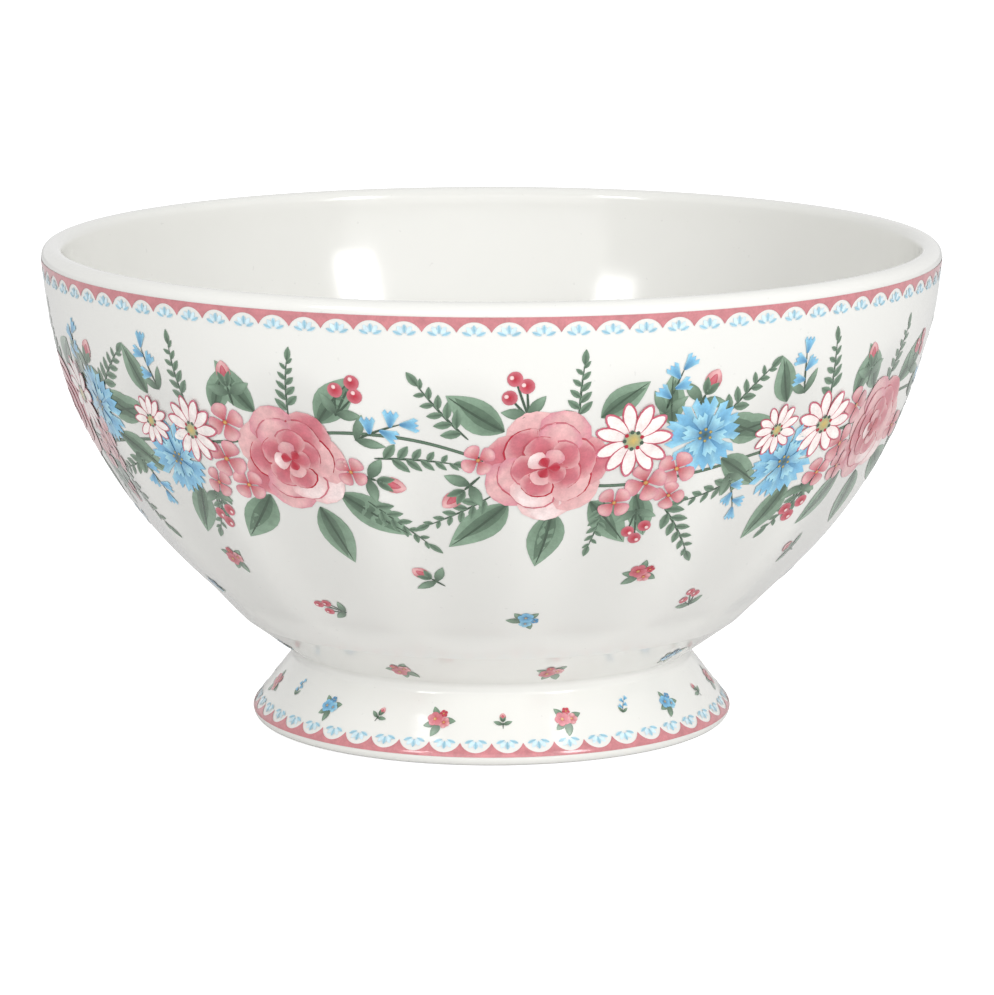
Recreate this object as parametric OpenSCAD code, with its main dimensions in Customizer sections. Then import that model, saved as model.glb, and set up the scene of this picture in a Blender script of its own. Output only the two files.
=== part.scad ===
// Footed breakfast bowl in glazed ceramic: a panelled cup luted to a flared foot ring,
// with glaze coats and scalloped enamel borders.
// The origin is on the table under the axis, +Z is up and -Y is the front.

/* [Cup] */
// Height of the whole bowl, from the table to the top of the lip
bowl_h = 80.8; // [76:0.2:86]
// Outer radius of the lip
rim_r = 75; // [72.5:0.5:78]
// Thickness of the glazed wall
wall_t = 3.6; // [3.2:0.1:4.2]
// Lean of the wall out from upright at the lip, in degrees
lip_lean = 3; // [1:0.5:6]
// Fullness of the wall: 0 is a straight wall, and 1 is one arc from the edge to the lip
fullness_share = 0.667; // [0.6:0.01:0.75]
// Radius of the edge where the panelled wall ends
edge_r = 42.4; // [41:0.2:43.6]
// Height of that edge above the table
edge_z = 18.3; // [17:0.1:19.5]
// Radius of the neck between the cup and the foot
neck_r = 33.8; // [32.4:0.2:35.2]
// Height of the upright stretch of the neck on the cup
neck_rise = 1.1; // [0.6:0.1:2]
// Height of the floor inside the cup
floor_z = 13; // [12.4:0.1:14]
// Fullness of the sweep between the floor and the wall, where 1 leaves no straight wall above it
floor_sweep_share = 0.74; // [0.6:0.02:0.9]
// Thickness of the floor of the cup
floor_t = 5; // [4.2:0.1:5.6]

/* [Panels] */
// Number of flat panels around the cup, an even number
panel_count = 16; // [12:2:18]
// Turn of the first panel from the front, in degrees
panel_turn = -4.2; // [-11:0.1:11]
// Distance of the tops of the panel arches below the top of the lip
arch_gap = 11.3; // [10:0.1:14]
// Height of an arch, from where a panel has its full width to the arch's top
arch_rise = 8.5; // [7:0.5:11]
// Height of the lower ends of the panels above the edge
panel_gap = 1.6; // [1.2:0.1:2.4]
// Height over which a panel runs out at its lower end
runout_rise = 3.1; // [2.6:0.1:4.4]
// Width of a panel's flat below the arch, as a share of the pitch
panel_top_share = 0.84; // [0.74:0.02:0.88]
// Width of a panel's flat at half its height, as a share of the pitch
panel_mid_share = 0.88; // [0.78:0.02:0.9]
// Width of a panel's flat above its run-out, as a share of the pitch
panel_low_share = 0.86; // [0.76:0.02:0.88]

/* [Foot] */
// Largest radius of the foot
foot_r = 40.4; // [39.2:0.2:42]
// Rounding of the foot's outer edge
foot_round_r = 1.5; // [1.4:0.1:1.8]
// Height of the top of the foot ring, where the cup sits
foot_h = 10.6; // [9.8:0.1:11.2]
// Width of the bare ring that stands on the table
bare_w = 2.9; // [2:0.1:3.6]
// Bevel between the bare ring and the hollow
hollow_bevel = 0.7; // [0.4:0.1:1]
// Width of the ledge around the spigot, where the cup rests on the foot ring
ledge_w = 5.3; // [4:0.1:7]

/* [Layers] */
// Thickness of the slip that joins the foot to the cup
slip_t = 0.4; // [0.3:0.05:0.7]
// Thickness of a glaze coat
glaze_t = 0.25; // [0.15:0.05:0.4]
// Thickness of the fired enamel
enamel_t = 0.1; // [0.06:0.02:0.2]

/* [Borders] */
// Number of scallops in the rim border
rim_scallops = 88; // [72:8:96]
// Gap between the lip's rounding and the rim's enamel band
rim_band_gap = 0.2; // [0.1:0.05:0.6]
// Width of the rim band above the scallops
rim_band_w = 0.75; // [0.5:0.05:1.2]
// Height of a rim scallop, from its top to the cusps beside it
rim_scallop_h = 1.65; // [1.2:0.05:2]
// Number of scallops in the foot border
foot_scallops = 48; // [40:8:56]
// Height of the lower edge of the foot's enamel band above the table
foot_band_z = 1.6; // [1.4:0.1:2.2]
// Width of the foot band below the scallops
foot_band_w = 0.65; // [0.4:0.05:0.8]
// Height of a foot scallop up the slope, from its lowest point to the cusps beside it
foot_scallop_h = 1.78; // [1.4:0.02:2.1]
// Length of the middle drop in a fan
drop_l = 1.25; // [1:0.05:1.5]
// Width of the middle drop in a fan
drop_w = 0.55; // [0.4:0.05:0.6]

/* [Hidden] */
$fa = 3;
$fs = 0.3;

// Overrun of every cut, and how far a tangent corner lies inside its arc so that the two cross cleanly
overrun = 3;
nip = 0.002;

// Drops of a fan: turn from its middle in degrees, and length and width as shares of the middle drop
drop_turns = [-70, -38, 0, 38, 70];
drop_length_shares = [0.86, 0.94, 1, 0.94, 0.86];
drop_width_shares = [0.8, 0.92, 1, 0.92, 0.8];
// Space left at the foot of a fan, and how far the fan sits below its cusps, as shares of the middle drop
drop_space_share = 0.32;
fan_sink_share = 0.28;
// Share of the pitch that a bite takes, so that no two bites meet
bite_share = 0.97;
// Equal sectors that a scalloped band is made in
ring_sectors = 8;

biscuit = "#e9e2d3";
slip_clay = "#d9cfbc";
white_glaze = "#f4f2ec";
rose_enamel = "#cb9494";
sky_enamel = "#9ccbe3";

// Plane geometry on [radius, height] pairs
function unit(v) = v / norm(v);
function outward(d) = [d[1], -d[0]];
function polar(angle) = [cos(angle), -sin(angle)];
function meet(p, d, q, e) = p + d * cross(q - p, e) / cross(d, e);

// The wall's profile: a straight flare rising from the edge, then one arc to the lip
lip_r = wall_t / 2;
rim_point = [rim_r - lip_r * (1 - cos(lip_lean)), bowl_h - lip_r * (1 + sin(lip_lean))];
edge_point = [edge_r, edge_z];
rise = rim_point - edge_point;
rise_angle = atan2(rise[0], rise[1]);
flare_angle = rise_angle + fullness_share * (rise_angle - lip_lean);
wall_arc_r = (rise[1] * sin(flare_angle) - rise[0] * cos(flare_angle)) / (1 - cos(flare_angle - lip_lean));
wall_centre = rim_point - wall_arc_r * polar(lip_lean);
lip_centre = rim_point - lip_r * polar(lip_lean);
flare_dir = [sin(flare_angle), cos(flare_angle)];

// The band under the edge, and the neck
shoulder_z = foot_h + slip_t;
neck_point = [neck_r, shoulder_z + neck_rise];
band_dir = unit(edge_point - neck_point);

// At depth i below the glazed surface each line and arc lies i further in
function flare_at(i) = edge_point - i * outward(flare_dir);
function band_at(i) = edge_point - i * outward(band_dir);
function edge_at(i) = meet(flare_at(i), flare_dir, band_at(i), band_dir);
function neck_at(i) = meet(band_at(i), band_dir, [neck_r - i, 0], [0, 1]);
function flare_top(i) = wall_centre + (wall_arc_r - i - nip) * polar(flare_angle);

// The sweep inside the cup touches the floor and the inner flare
flare_top_in = wall_centre + (wall_arc_r - wall_t) * polar(flare_angle);
floor_sweep_r = floor_sweep_share * (flare_top_in[1] - floor_z) / (1 - sin(flare_angle));
sweep_centre = meet(flare_at(wall_t + floor_sweep_r), flare_dir, [0, floor_z + floor_sweep_r], [1, 0]);

// The round spigot under the cup that centres the foot ring, and the bore of the ring around it
spigot_r = neck_r - ledge_w;
spigot_z = floor_z - floor_t + glaze_t;
bore_r = spigot_r + slip_t;

// The foot's outline: a line from the neck that touches the rounded edge
foot_round = [foot_r - foot_round_r, foot_round_r];
foot_neck = [neck_r, foot_h];
foot_reach = foot_round - foot_neck;
foot_turn = atan2(foot_reach[1], foot_reach[0]) + asin(foot_round_r / norm(foot_reach));
foot_dir = [cos(foot_turn), sin(foot_turn)];
foot_out = [-foot_dir[1], foot_dir[0]];
bare_in_r = foot_round[0] - bare_w;
hollow_mouth = [bare_in_r - hollow_bevel, hollow_bevel];
hollow_top = [bore_r, spigot_z];
hollow_dir = unit(hollow_top - hollow_mouth);

// Three points set the arc of a panel's middle line
flare_top_z = flare_top(0)[1];
arch_top_z = bowl_h - arch_gap;
arch_foot_z = arch_top_z - arch_rise;
panel_end_z = edge_z + panel_gap;
runout_z = panel_end_z + runout_rise;
function arc_angle(z) = asin((wall_centre[1] - z) / wall_arc_r);
function wall_at(angle, depth) = wall_centre + (wall_arc_r - depth) * polar(angle);
function flare_height(z) = edge_point + flare_dir * (z - edge_z) / cos(flare_angle);
function outside(z) = z > flare_top_z ? wall_at(arc_angle(z), 0) : flare_height(z);
function panel_point(z, share) = [outside(z)[0] * cos(share * 180 / panel_count), z];
panel_top = panel_point(arch_foot_z, panel_top_share);
panel_mid = panel_point((arch_foot_z + runout_z) / 2, panel_mid_share);
panel_low = panel_point(runout_z, panel_low_share);
panel_centre = meet((panel_low + panel_mid) / 2, outward(panel_mid - panel_low),
    (panel_mid + panel_top) / 2, outward(panel_top - panel_mid));
panel_arc_r = norm(panel_mid - panel_centre);
arch_dir = unit(outside(arch_top_z) - panel_top);
end_dir = unit(panel_low - outside(panel_end_z));

// Heights of the borders
rim_band_top = rim_point[1] - rim_band_gap;
rim_scallop_top = rim_band_top - rim_band_w;
foot_scallop_low = foot_band_z + foot_band_w;
foot_scallop_rise = -foot_dir[1] * foot_scallop_h;
foot_scallop_high = foot_scallop_low + foot_scallop_rise;
function foot_slope(z) = foot_neck + foot_dir * (z - foot_h) / foot_dir[1];

// Points of the underside of the cup, from the axis out to the neck
cup_base = [[0, spigot_z], [spigot_r, spigot_z], [spigot_r, shoulder_z]];
plain_base = [[0, foot_h]];

// Right half of the cup's outline, filled to the axis, at depth i and on a given base
module cup_half(i, base, foot_z) {
    polygon(concat(base, [[neck_r - i, foot_z], neck_at(i), edge_at(i), flare_top(i), [0, lip_centre[1]]]));
    intersection() {
        translate(wall_centre) circle(r = wall_arc_r - i);
        polygon([[0, edge_z], [rim_r + overrun, edge_z],
            wall_centre + (wall_arc_r + overrun) * polar(lip_lean),
            wall_centre + (wall_arc_r - rim_r / 2) * polar(lip_lean), [0, lip_centre[1]]]);
    }
    translate(lip_centre) circle(r = lip_r - i + nip);
}

// Right half of the cup's hollow, at depth i below the outside
module hollow_half(i) {
    sweep_r = floor_sweep_r + wall_t - i;
    bottom = sweep_centre[1] - sweep_r;
    sweep_top = sweep_centre + (sweep_r - nip) * polar(flare_angle);
    top = bowl_h + overrun;
    polygon([[0, bottom + nip], [sweep_centre[0], bottom + nip], sweep_top, flare_top(i), [0, top]]);
    intersection() {
        translate(wall_centre) circle(r = wall_arc_r - i);
        translate([0, sweep_top[1]]) square([rim_r, top - sweep_top[1]]);
    }
    intersection() {
        translate(sweep_centre) circle(r = sweep_r);
        translate([sweep_centre[0] - overrun, bottom - overrun]) square([rim_r, sweep_r]);
    }
}

// Everything above the line where the lip's rounding starts
module above_lip_line() {
    top = bowl_h + 2 * overrun;
    polygon([meet(lip_centre, polar(lip_lean), [0, 0], [0, 1]), lip_centre + 2 * overrun * polar(lip_lean),
        [rim_r + overrun, top], [0, top]]);
}

// What is cut away in front of one panel, at depth i
module panel_cut(i) {
    far_r = rim_r + 2 * overrun;
    arch_line = panel_top - i * outward(arch_dir);
    arch_far = meet(arch_line, arch_dir, [far_r, 0], [0, 1]);
    end_line = panel_low - i * outward(end_dir);
    end_far = meet(end_line, end_dir, edge_point, [1, 0]);
    rotate([90, 0, 90])
        linear_extrude(height = 2 * rim_r * sin(180 / panel_count), center = true)
            difference() {
                polygon([end_line + end_dir * overrun, end_far, [far_r, end_far[1]], arch_far,
                    arch_line - arch_dir * overrun]);
                translate(panel_centre) circle(r = panel_arc_r - i);
            }
}

// Every second panel cut, from a first one
module panel_cuts(i, first) {
    for (k = [first : 2 : panel_count - 1])
        rotate([0, 0, panel_turn - 90 + 360 / panel_count * k]) panel_cut(i);
}

// The panelled form of the cup's outside, solid, at depth i
module panelled(i, base, foot_z) {
    difference() {
        difference() {
            rotate_extrude() cup_half(i, base, foot_z);
            panel_cuts(i, 0);
        }
        panel_cuts(i, 1);
    }
}

// Right half of the foot's outline, filled to the axis, at depth i
module foot_half(i) {
    line = foot_neck - i * foot_out;
    square([neck_r - i, foot_h]);
    polygon([[0, 0], [foot_round[0], 0], foot_round, foot_round + (foot_round_r - i - nip) * foot_out,
        meet(line, foot_dir, [0, foot_h], [1, 0]), [0, foot_h]]);
    intersection() {
        translate(foot_round) circle(r = foot_round_r - i);
        translate([foot_round[0], -overrun]) square([foot_r, foot_h + overrun]);
    }
}

// Right half of the hollow under the foot ring, at depth i
module foot_hollow_half(i) {
    wall = hollow_mouth - i * unit([hollow_dir[1], -hollow_dir[0]]);
    mouth = meet(wall, hollow_dir, hollow_mouth, [1, 0]);
    top = meet(wall, hollow_dir, [0, spigot_z - i], [1, 0]);
    polygon([[0, hollow_mouth[1]], mouth, top, [0, spigot_z - i]]);
}

// The band's scallops are cut a few at a time, in equal sectors of the ring
module scalloped_ring(low, high, scallops, radius, bite_z) {
    sector = 360 / ring_sectors;
    each_sector = scallops / ring_sectors;
    around(ring_sectors)
        difference() {
            rotate_extrude(angle = sector)
                intersection() {
                    children(0);
                    translate([0, low]) square([rim_r + overrun, high - low]);
                }
            for (k = [0 : each_sector - 1])
                rotate([0, 0, (k + 0.5) * sector / each_sector]) through_skin(radius, bite_z) children(1);
        }
}

// Copies children around the axis, facing the front first
module around(count) {
    for (k = [0 : count - 1])
        rotate([0, 0, 360 / count * k - 90]) children();
}

// Stands a flat shape upright at a radius and height, and drives it through the skin there
module through_skin(radius, z) {
    translate([radius - overrun / 2, 0, z])
        rotate([90, 0, 90]) linear_extrude(height = overrun) children();
}

// One drop of enamel, pointed at both ends, standing on the origin
module drop(l, w) {
    arc_r = (l * l + w * w) / (4 * w);
    translate([0, l / 2])
        intersection() {
            translate([arc_r - w / 2, 0]) circle(r = arc_r);
            translate([w / 2 - arc_r, 0]) circle(r = arc_r);
        }
}

// A fan of enamel drops that opens upward from just below the origin, on a face that looks along +Z
module fan() {
    translate([0, -drop_l * fan_sink_share, 0])
        for (k = [0 : len(drop_turns) - 1])
            rotate([0, 0, drop_turns[k]])
                translate([0, drop_l * drop_space_share, 0])
                    linear_extrude(height = enamel_t)
                        drop(drop_l * drop_length_shares[k], drop_w * drop_width_shares[k]);
}

// The bite that a scallop takes out of a band: an arc of given height over nearly the whole pitch
module bite(radius, count, height) {
    half_w = radius * sin(180 / count);
    arc_r = (half_w * half_w + height * height) / (2 * height);
    intersection() {
        translate([0, height - arc_r]) circle(r = arc_r);
        translate([-half_w * bite_share, -height]) square([2 * half_w * bite_share, 2 * height]);
    }
}

module cup() {
    color(biscuit)
        difference() {
            panelled(glaze_t, cup_base, shoulder_z);
            rotate_extrude() hollow_half(wall_t - glaze_t);
        }
}

module foot_ring() {
    color(biscuit)
        rotate_extrude()
            difference() {
                foot_half(glaze_t);
                polygon([[0, -overrun], [bare_in_r + overrun, -overrun], hollow_mouth, hollow_top,
                    [bore_r, foot_h + overrun], [0, foot_h + overrun]]);
            }
}

module luting_slip() {
    color(slip_clay)
        rotate_extrude()
            polygon([[spigot_r, spigot_z], [bore_r, spigot_z], [bore_r, foot_h], [neck_r - glaze_t, foot_h],
                [neck_r - glaze_t, shoulder_z], [spigot_r, shoulder_z]]);
}

module inner_glaze() {
    color(white_glaze)
        rotate_extrude()
            difference() {
                intersection() {
                    cup_half(0, plain_base, foot_h);
                    union() {
                        hollow_half(wall_t - glaze_t);
                        above_lip_line();
                    }
                }
                hollow_half(wall_t);
                translate(lip_centre) circle(r = lip_r - glaze_t + nip);
            }
}

module outer_glaze() {
    color(white_glaze) {
        difference() {
            difference() {
                panelled(0, plain_base, foot_h);
                rotate_extrude() above_lip_line();
            }
            panelled(glaze_t, plain_base, foot_h);
        }
        rotate_extrude()
            difference() {
                foot_half(0);
                foot_half(glaze_t);
            }
    }
}

module base_glaze() {
    color(white_glaze)
        rotate_extrude()
            difference() {
                foot_hollow_half(0);
                foot_hollow_half(glaze_t);
            }
}

module rim_band() {
    low = rim_scallop_top - rim_scallop_h;
    color(rose_enamel)
        scalloped_ring(low, rim_band_top, rim_scallops, rim_r, low) {
            difference() {
                translate(wall_centre) circle(r = wall_arc_r + enamel_t);
                translate(wall_centre) circle(r = wall_arc_r);
            }
            bite(rim_r, rim_scallops, rim_scallop_h);
        }
}

module foot_band() {
    reach_r = foot_slope((foot_scallop_low + foot_scallop_high) / 2)[0];
    color(rose_enamel)
        scalloped_ring(foot_band_z, foot_scallop_high, foot_scallops, reach_r, foot_scallop_high) {
            difference() {
                foot_half(-enamel_t);
                foot_half(0);
            }
            mirror([0, 1]) bite(foot_round[0], foot_scallops, foot_scallop_rise);
        }
}

// A fan on the wall stands in the middle of its scallop, leaning with the wall
module rim_fans() {
    angle = arc_angle(rim_scallop_top - rim_scallop_h);
    seat = wall_at(angle, 0);
    color(sky_enamel)
        around(rim_scallops)
            rotate([0, 0, 180 / rim_scallops])
                translate([seat[0], 0, seat[1]]) rotate([0, 90 + angle, 0]) rotate([0, 0, 90]) fan();
}

// A fan on the foot hangs down, on the slope of the foot
module foot_fans() {
    slope = foot_slope(foot_scallop_high);
    upright = slope[0] < neck_r;
    seat = [max(slope[0], neck_r), slope[1]];
    color(sky_enamel)
        around(foot_scallops)
            rotate([0, 0, 180 / foot_scallops])
                translate([seat[0], 0, seat[1]])
                    rotate([0, upright ? 90 : -foot_turn, 0]) rotate([0, 0, -90]) fan();
}

cup();
foot_ring();
luting_slip();
inner_glaze();
outer_glaze();
base_glaze();
rim_band();
foot_band();
rim_fans();
foot_fans();
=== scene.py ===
# %% [markdown]
# # A footed breakfast bowl
#
# This notebook dresses the plain CAD solids of a glazed ceramic bowl for a product picture.
# The bowl's measured frame is loaded first. All lengths are in metres, +Z is up and -Y is the
# front of the bowl. The plain model stays in the scene at its size.

# %% Load the frame
import math
from bisect import bisect_right

import bpy
from mathutils import Matrix, Vector


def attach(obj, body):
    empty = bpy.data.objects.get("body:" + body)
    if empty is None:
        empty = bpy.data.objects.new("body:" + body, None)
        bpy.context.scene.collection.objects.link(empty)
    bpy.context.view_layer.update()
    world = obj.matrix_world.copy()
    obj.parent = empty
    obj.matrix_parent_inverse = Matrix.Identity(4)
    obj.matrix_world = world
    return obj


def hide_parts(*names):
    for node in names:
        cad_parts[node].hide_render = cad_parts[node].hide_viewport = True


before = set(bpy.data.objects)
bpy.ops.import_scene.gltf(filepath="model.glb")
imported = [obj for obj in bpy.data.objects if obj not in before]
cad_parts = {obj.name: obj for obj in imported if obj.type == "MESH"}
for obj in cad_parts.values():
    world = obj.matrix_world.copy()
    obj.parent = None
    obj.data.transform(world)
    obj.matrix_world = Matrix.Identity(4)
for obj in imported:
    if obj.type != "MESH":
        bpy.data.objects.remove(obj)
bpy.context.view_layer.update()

# %% [markdown]
# ## Camera
#
# The camera stands 0.8 m from the bowl's axis and looks down by 10.6 degrees through a long lens.
# These values were found by fitting the bowl's outline to the picture. The shift moves the bowl a
# few pixels to the left.

# %% Camera
PICTURE_W, FOCAL_PIXELS, SHIFT_PIXELS = 994, 4822, 5.4
CAMERA_AT, LOOKS_DOWN = (0.0, -0.8, 0.18607), 10.562
SENSOR_W = 36.0

bpy.ops.object.select_all(action="DESELECT")
bpy.ops.object.camera_add(location=CAMERA_AT)
camera = bpy.context.object
camera.name = "photo_camera"
camera.rotation_euler = (math.radians(90 - LOOKS_DOWN), 0.0, 0.0)
camera.data.sensor_fit = "HORIZONTAL"
camera.data.sensor_width = SENSOR_W
camera.data.lens = SENSOR_W * FOCAL_PIXELS / PICTURE_W
camera.data.shift_x = SHIFT_PIXELS / PICTURE_W
camera.data.clip_start = 0.01
bpy.context.scene.camera = camera
print("camera lens", round(camera.data.lens, 1), "mm")

# %% [markdown]
# ## Measures of the bowl
#
# The outside of the bowl is one outline turned around the axis. It is a straight flare with one
# long arc above it, a short band that narrows to the neck, and a flared foot. Points could be
# picked from the CAD mesh, but its facets would show. The measures that shape the solids give
# smooth curves, so they are used here, in metres. A panel's three shares say how much of its own
# width it takes up at the arch's foot, in the middle and where it runs out.

# %% Measures
BOWL_H, RIM_R, WALL_T = 0.0808, 0.075, 0.0036
LIP_LEAN, FULLNESS = math.radians(3), 0.667
EDGE = (0.0424, 0.0183)
NECK_R, NECK_TOP = 0.0338, 0.0121
FLOOR_Z, SWEEP_R = 0.013, 0.045
FOOT_R, FOOT_ROUND, FOOT_H = 0.0404, 0.0015, 0.0106
BARE_IN, HOLLOW_BEVEL, HOLLOW_R, HOLLOW_Z = 0.036, 0.0007, 0.0278, 0.008

PANELS, PANEL_TURN = 16, math.radians(-4.2)
ARCH_TOP, ARCH_FOOT, RUN_OUT, PANEL_END = 0.0695, 0.061, 0.023, 0.0199
TOP_SHARE, MID_SHARE, LOW_SHARE = 0.84, 0.88, 0.86

LIP_R = WALL_T / 2
rim_point = (RIM_R - LIP_R * (1 - math.cos(LIP_LEAN)), BOWL_H - LIP_R * (1 + math.sin(LIP_LEAN)))
rise = (rim_point[0] - EDGE[0], rim_point[1] - EDGE[1])
rise_angle = math.atan2(*rise)
FLARE = rise_angle + FULLNESS * (rise_angle - LIP_LEAN)
ARC_R = (rise[1] * math.sin(FLARE) - rise[0] * math.cos(FLARE)) / (1 - math.cos(FLARE - LIP_LEAN))
ARC_C = (rim_point[0] - ARC_R * math.cos(LIP_LEAN), rim_point[1] + ARC_R * math.sin(LIP_LEAN))
FLARE_TOP = ARC_C[1] - ARC_R * math.sin(FLARE)
print("wall arc radius", round(ARC_R, 5), "centre", [round(v, 5) for v in ARC_C])

# %% [markdown]
# ## Panels
#
# Sixteen shallow flat panels run around the wall under round arches, with soft ridges between
# them. They could be cut with Boolean modifiers, but that leaves hard edges and long thin faces,
# so the wall's vertices are moved to a surface that is worked out here. A panel is a flat cut
# whose middle line is an arc just inside the wall. At a turn away from the panel's middle the flat
# lies at the middle's radius divided by the cosine of the turn. Where the flat would come out of
# the round wall, a smooth minimum blends one into the other.

# %% Panel surface
def outside(z):
    if z > FLARE_TOP:
        return ARC_C[0] + math.sqrt(ARC_R**2 - (ARC_C[1] - z) ** 2)
    return EDGE[0] + (z - EDGE[1]) * math.tan(FLARE)


def panel_point(z, share):
    return outside(z) * math.cos(share * math.pi / PANELS), z


def circle_through(a, b, c):
    ax, ay, bx, by, cx, cy = *a, *b, *c
    aa, bb, cc = ax**2 + ay**2, bx**2 + by**2, cx**2 + cy**2
    d = 2 * (ax * (by - cy) + bx * (cy - ay) + cx * (ay - by))
    x = (aa * (by - cy) + bb * (cy - ay) + cc * (ay - by)) / d
    y = (aa * (cx - bx) + bb * (ax - cx) + cc * (bx - ax)) / d
    return x, y, math.dist((x, y), a)


panel_top = panel_point(ARCH_FOOT, TOP_SHARE)
panel_mid = panel_point((ARCH_FOOT + RUN_OUT) / 2, MID_SHARE)
panel_low = panel_point(RUN_OUT, LOW_SHARE)
arch_end, low_end = (outside(ARCH_TOP), ARCH_TOP), (outside(PANEL_END), PANEL_END)
PC_R, PC_Z, P_R = circle_through(panel_low, panel_mid, panel_top)


def along(a, b, z):
    return a[0] + (b[0] - a[0]) * (z - a[1]) / (b[1] - a[1])


def panel_middle(z):
    if z > panel_top[1]:
        return along(panel_top, arch_end, z)
    if z < panel_low[1]:
        return along(panel_low, low_end, z)
    return PC_R + math.sqrt(P_R**2 - (PC_Z - z) ** 2)


def smooth_min(a, b, soft):
    share = min(1.0, max(0.0, 0.5 + 0.5 * (b - a) / soft))
    return b * (1 - share) + a * share - soft * share * (1 - share)


RIDGE_SOFT, FADE_OVER = 0.0003, 0.002
PANELS_FROM, PANELS_TO = PANEL_END - 0.001, ARCH_TOP + 0.003


def panelled(radius, z, turn):
    if not PANELS_FROM < z < PANELS_TO:
        return radius
    step = 2 * math.pi / PANELS
    off = (turn - PANEL_TURN + step / 2) % step - step / 2
    flat = panel_middle(z) / math.cos(off)
    fade = min(1.0, (z - PANELS_FROM) / FADE_OVER, (PANELS_TO - z) / FADE_OVER)
    return radius + (smooth_min(radius, flat, RIDGE_SOFT) - radius) * fade


print("panel middle at half height", round(panel_middle(0.045), 5))

# %% [markdown]
# ## Outline of the bowl
#
# The outline is a list of points from the middle of the hollow under the foot, around the foot and
# up the wall, over the lip and down the inside to the middle of the floor. It could be drawn by
# hand over the picture, but worked out from the measures it keeps to the plain solids. Corners get
# small rounded turns, because glaze softens every edge and fills every crease.

# %% Outline
def fillet(a, corner, b, radius, steps=7):
    c = Vector(corner)
    to_a, to_b = (Vector(a) - c).normalized(), (Vector(b) - c).normalized()
    half = to_a.angle(to_b) / 2
    centre = c + (to_a + to_b).normalized() * (radius / math.sin(half))
    start, end = c + to_a * (radius / math.tan(half)), c + to_b * (radius / math.tan(half))
    one, two = start - centre, end - centre
    turn = one.angle_signed(two)
    points = []
    for k in range(steps + 1):
        t = -turn * k / steps
        points.append((
            centre.x + one.x * math.cos(t) - one.y * math.sin(t),
            centre.y + one.x * math.sin(t) + one.y * math.cos(t),
        ))
    return points


def straight(a, b, steps):
    run, climb = b[0] - a[0], b[1] - a[1]
    return [(a[0] + run * k / steps, a[1] + climb * k / steps) for k in range(1, steps)]


def arc(centre, radius, start, end, steps):
    return [
        (centre[0] + radius * math.cos(start + (end - start) * k / steps),
         centre[1] + radius * math.sin(start + (end - start) * k / steps))
        for k in range(steps + 1)
    ]


HOLLOW_FILLET, NECK_FILLET, EDGE_FILLET = 0.0015, 0.0009, 0.0012

foot_c = (FOOT_R - FOOT_ROUND, FOOT_ROUND)
reach = (foot_c[0] - NECK_R, foot_c[1] - FOOT_H)
foot_angle = math.atan2(reach[1], reach[0]) + math.asin(FOOT_ROUND / math.hypot(*reach))
foot_out = foot_angle + math.pi / 2
foot_touch = (foot_c[0] + FOOT_ROUND * math.cos(foot_out),
              foot_c[1] + FOOT_ROUND * math.sin(foot_out))

hollow_top, hollow_corner = (0.0, HOLLOW_Z), (HOLLOW_R, HOLLOW_Z)
bevel_top = (BARE_IN - HOLLOW_BEVEL, HOLLOW_BEVEL)
under = [hollow_top] + straight(hollow_top, hollow_corner, steps=9)
under += fillet(hollow_top, hollow_corner, bevel_top, HOLLOW_FILLET) + [bevel_top]
bare = [(BARE_IN, 0.0)] + straight((BARE_IN, 0), (foot_c[0], 0), steps=4) + [(foot_c[0], 0.0)]
foot = arc(foot_c, FOOT_ROUND, -math.pi / 2, foot_out, steps=12)[1:]
neck_low = fillet(foot_touch, (NECK_R, FOOT_H), (NECK_R, NECK_TOP), NECK_FILLET)
foot += straight(foot_touch, neck_low[0], steps=10) + neck_low
neck = fillet((NECK_R, FOOT_H), (NECK_R, NECK_TOP), EDGE, EDGE_FILLET)
flare_end = (outside(FLARE_TOP), FLARE_TOP)
edge = fillet((NECK_R, NECK_TOP), EDGE, flare_end, EDGE_FILLET)
wall = neck + straight(neck[-1], edge[0], steps=6) + edge + straight(edge[-1], flare_end, steps=12)
wall += arc(ARC_C, ARC_R, -FLARE, -LIP_LEAN, steps=56)
lip_c = (rim_point[0] - LIP_R * math.cos(LIP_LEAN), rim_point[1] + LIP_R * math.sin(LIP_LEAN))
lip = arc(lip_c, LIP_R, -LIP_LEAN, math.pi - LIP_LEAN, steps=16)[1:-1]
inner = arc(ARC_C, ARC_R - WALL_T, -LIP_LEAN, -FLARE, steps=44)
sweep_z = FLOOR_Z + SWEEP_R
flare_r = EDGE[0] + (sweep_z - EDGE[1]) * math.tan(FLARE)
sweep_r = flare_r - (WALL_T + SWEEP_R) / math.cos(FLARE)
sweep = arc((sweep_r, sweep_z), SWEEP_R, -FLARE, -math.pi / 2, steps=30)
inner += straight(inner[-1], sweep[0], steps=4) + sweep
floor = straight(sweep[-1], (0, FLOOR_Z), steps=6) + [(0.0, FLOOR_Z)]
outline = under + bare + foot + wall + lip + inner + floor
print("outline of", len(outline), "points")

# %% [markdown]
# ## Porcelain body
#
# The real bowl is one fired shell of white clay under glaze. A Screw modifier could turn the
# outline around the axis, but Spin in edit mode gives a mesh that can be shaped at once. The
# outline is drawn as a chain of vertices by extruding one point after another. The chain is spun
# in 256 steps, and its seam and poles are welded. Then the vertices of the outside wall are drawn
# in to the panel surface. Each vertex also keeps a tint with painted shade, up to a tenth darker in
# the middle of a panel, so the hollows look shaded and the ridges lighter.

# %% Porcelain body
def deselect():
    bpy.ops.object.select_all(action="DESELECT")


def activate(obj):
    deselect()
    obj.select_set(True)
    bpy.context.view_layer.objects.active = obj


SPIN_STEPS, WELD_GAP = 256, 1e-6

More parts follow.
